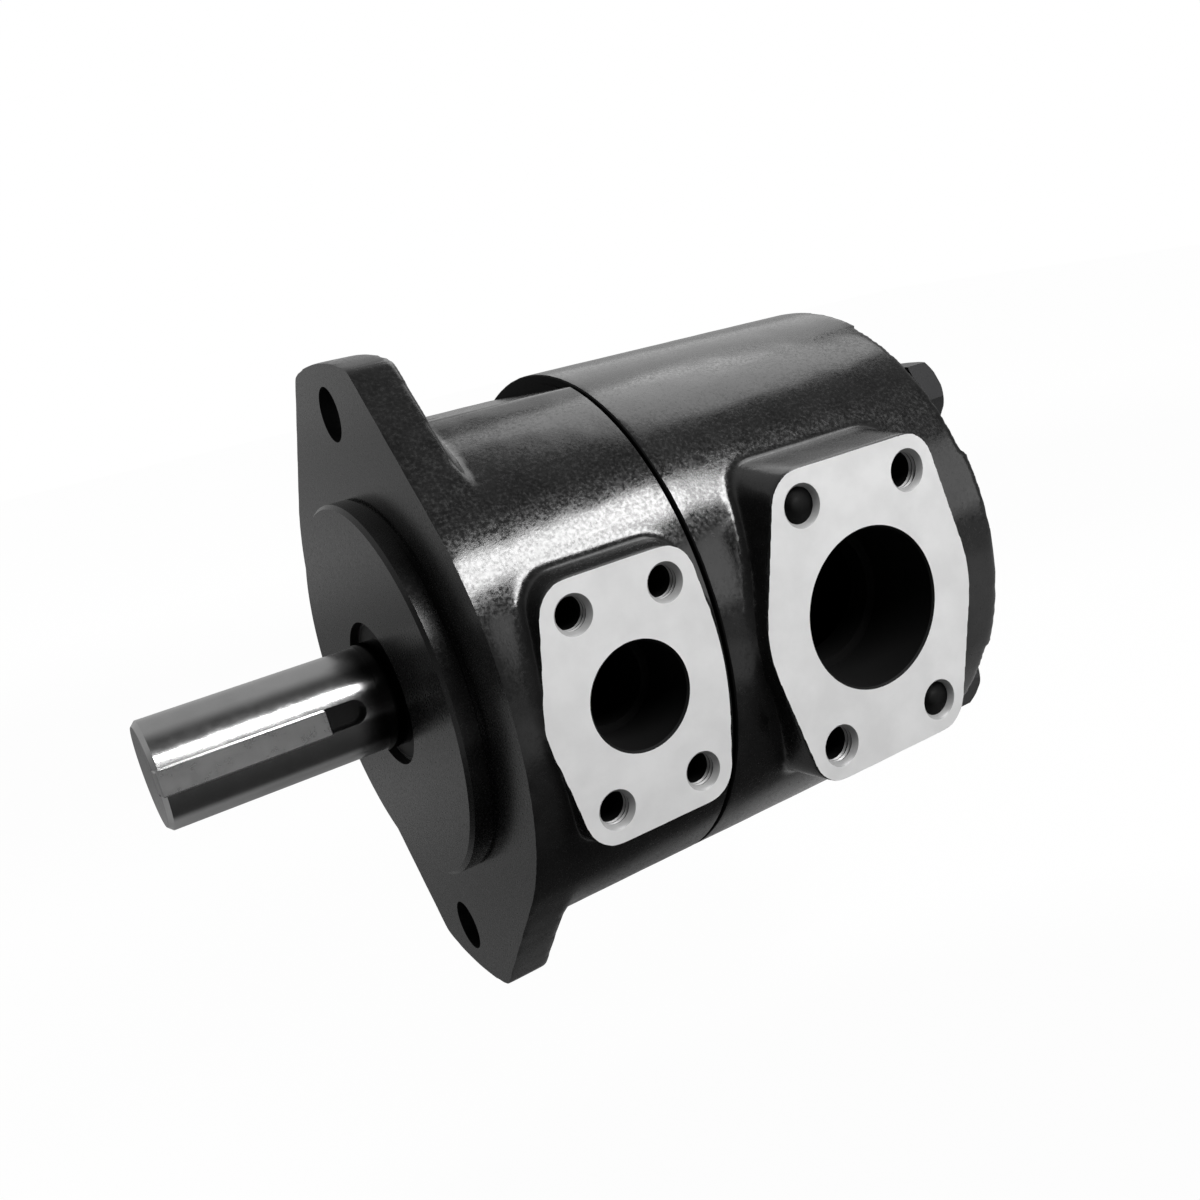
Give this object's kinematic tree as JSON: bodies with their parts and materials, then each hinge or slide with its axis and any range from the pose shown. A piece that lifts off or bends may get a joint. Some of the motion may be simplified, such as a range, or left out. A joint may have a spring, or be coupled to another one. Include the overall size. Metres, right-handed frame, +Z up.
{
  "type": "hydraulic vane pump",
  "caption": "Cast two-piece vane pump with a two-bolt pilot flange, keyed drive shaft, bolted-flange outlet and inlet ports and a balanced vane cartridge inside.",
  "frame": {"origin": "centre of the mounting flange's front face, on the shaft axis", "axes": "+X along the shaft from the flange to the rear cover, -Y out of the two ports, +Z up through one mounting ear"},
  "size_m": [0.276, 0.1825, 0.213],
  "materials": {
    "black_casting": "gloss",
    "black_bolt": "satin",
    "seal_rubber": "matte",
    "pressed_steel": "satin",
    "spring_steel": "satin",
    "bearing_steel": "polished",
    "hardened_steel": "ground",
    "shaft_steel": "polished",
    "key_steel": "satin",
    "plate_bronze": "lapped",
    "bushing_bronze": "satin",
    "backup_plastic": "matte"
  },
  "bodies": {
    "housing": {"front_body": "black_casting", "rear_cover": "black_casting", "cover_bolts": "black_bolt", "body_o_ring": "seal_rubber", "shaft_seal_case": "pressed_steel", "shaft_seal_lip": "seal_rubber", "seal_garter_spring": "spring_steel", "bearing_outer_race": "bearing_steel", "bearing_retaining_ring": "spring_steel", "cam_ring": "hardened_steel", "outlet_side_plate": "plate_bronze", "inlet_side_plate": "plate_bronze", "cartridge_screws": "black_bolt", "locating_pins": "bearing_steel", "plate_o_ring": "seal_rubber", "plate_backup_ring": "backup_plastic", "boss_o_ring": "seal_rubber", "rear_bushing": "bushing_bronze"},
    "shaft": {"drive_shaft": "shaft_steel", "shaft_key": "key_steel", "bearing_inner_race": "bearing_steel", "shaft_snap_ring": "spring_steel", "rotor": "hardened_steel"},
    "ball_cage": {"bearing_balls": "bearing_steel", "bearing_cage": "pressed_steel"},
    "vane_01": {"vane_01": "hardened_steel"},
    "vane_02": {"vane_02": "hardened_steel"},
    "vane_03": {"vane_03": "hardened_steel"},
    "vane_04": {"vane_04": "hardened_steel"},
    "vane_05": {"vane_05": "hardened_steel"},
    "vane_06": {"vane_06": "hardened_steel"},
    "vane_07": {"vane_07": "hardened_steel"},
    "vane_08": {"vane_08": "hardened_steel"},
    "vane_09": {"vane_09": "hardened_steel"},
    "vane_10": {"vane_10": "hardened_steel"}
  },
  "joints": [
    {"name": "shaft_spin", "type": "hinge", "parent": "housing", "child": "shaft", "pos_m": [0, 0, 0], "axis": [1, 0, 0], "continuous": true},
    {"name": "ball_cage_spin", "type": "hinge", "parent": "housing", "child": "ball_cage", "pos_m": [0.02, 0, 0], "axis": [1, 0, 0], "continuous": true},
    {"name": "vane_01_slide", "type": "slide", "parent": "shaft", "child": "vane_01", "axis": [0, 0.9511, 0.309], "range_m": [-0.00095, 0]},
    {"name": "vane_02_slide", "type": "slide", "parent": "shaft", "child": "vane_02", "axis": [0, 0.5878, 0.809], "range_m": [-0.00095, 0.004]},
    {"name": "vane_03_slide", "type": "slide", "parent": "shaft", "child": "vane_03", "axis": [0, 0, 1], "range_m": [-0.00095, 0.0055]},
    {"name": "vane_04_slide", "type": "slide", "parent": "shaft", "child": "vane_04", "axis": [0, -0.5878, 0.809], "range_m": [-0.00095, 0.004]},
    {"name": "vane_05_slide", "type": "slide", "parent": "shaft", "child": "vane_05", "axis": [0, -0.9511, 0.309], "range_m": [-0.00095, 0]},
    {"name": "vane_06_slide", "type": "slide", "parent": "shaft", "child": "vane_06", "axis": [0, -0.9511, -0.309], "range_m": [-0.00095, 0]},
    {"name": "vane_07_slide", "type": "slide", "parent": "shaft", "child": "vane_07", "axis": [0, -0.5878, -0.809], "range_m": [-0.00095, 0.004]},
    {"name": "vane_08_slide", "type": "slide", "parent": "shaft", "child": "vane_08", "axis": [0, 0, -1], "range_m": [-0.00095, 0.0055]},
    {"name": "vane_09_slide", "type": "slide", "parent": "shaft", "child": "vane_09", "axis": [0, 0.5878, -0.809], "range_m": [-0.00095, 0.004]},
    {"name": "vane_10_slide", "type": "slide", "parent": "shaft", "child": "vane_10", "axis": [0, 0.9511, -0.309], "range_m": [-0.00095, 0]}
  ],
  "couplings": [
    {"joint": "ball_cage_spin", "follows": "shaft_spin", "ratio": 0.395}
  ]
}
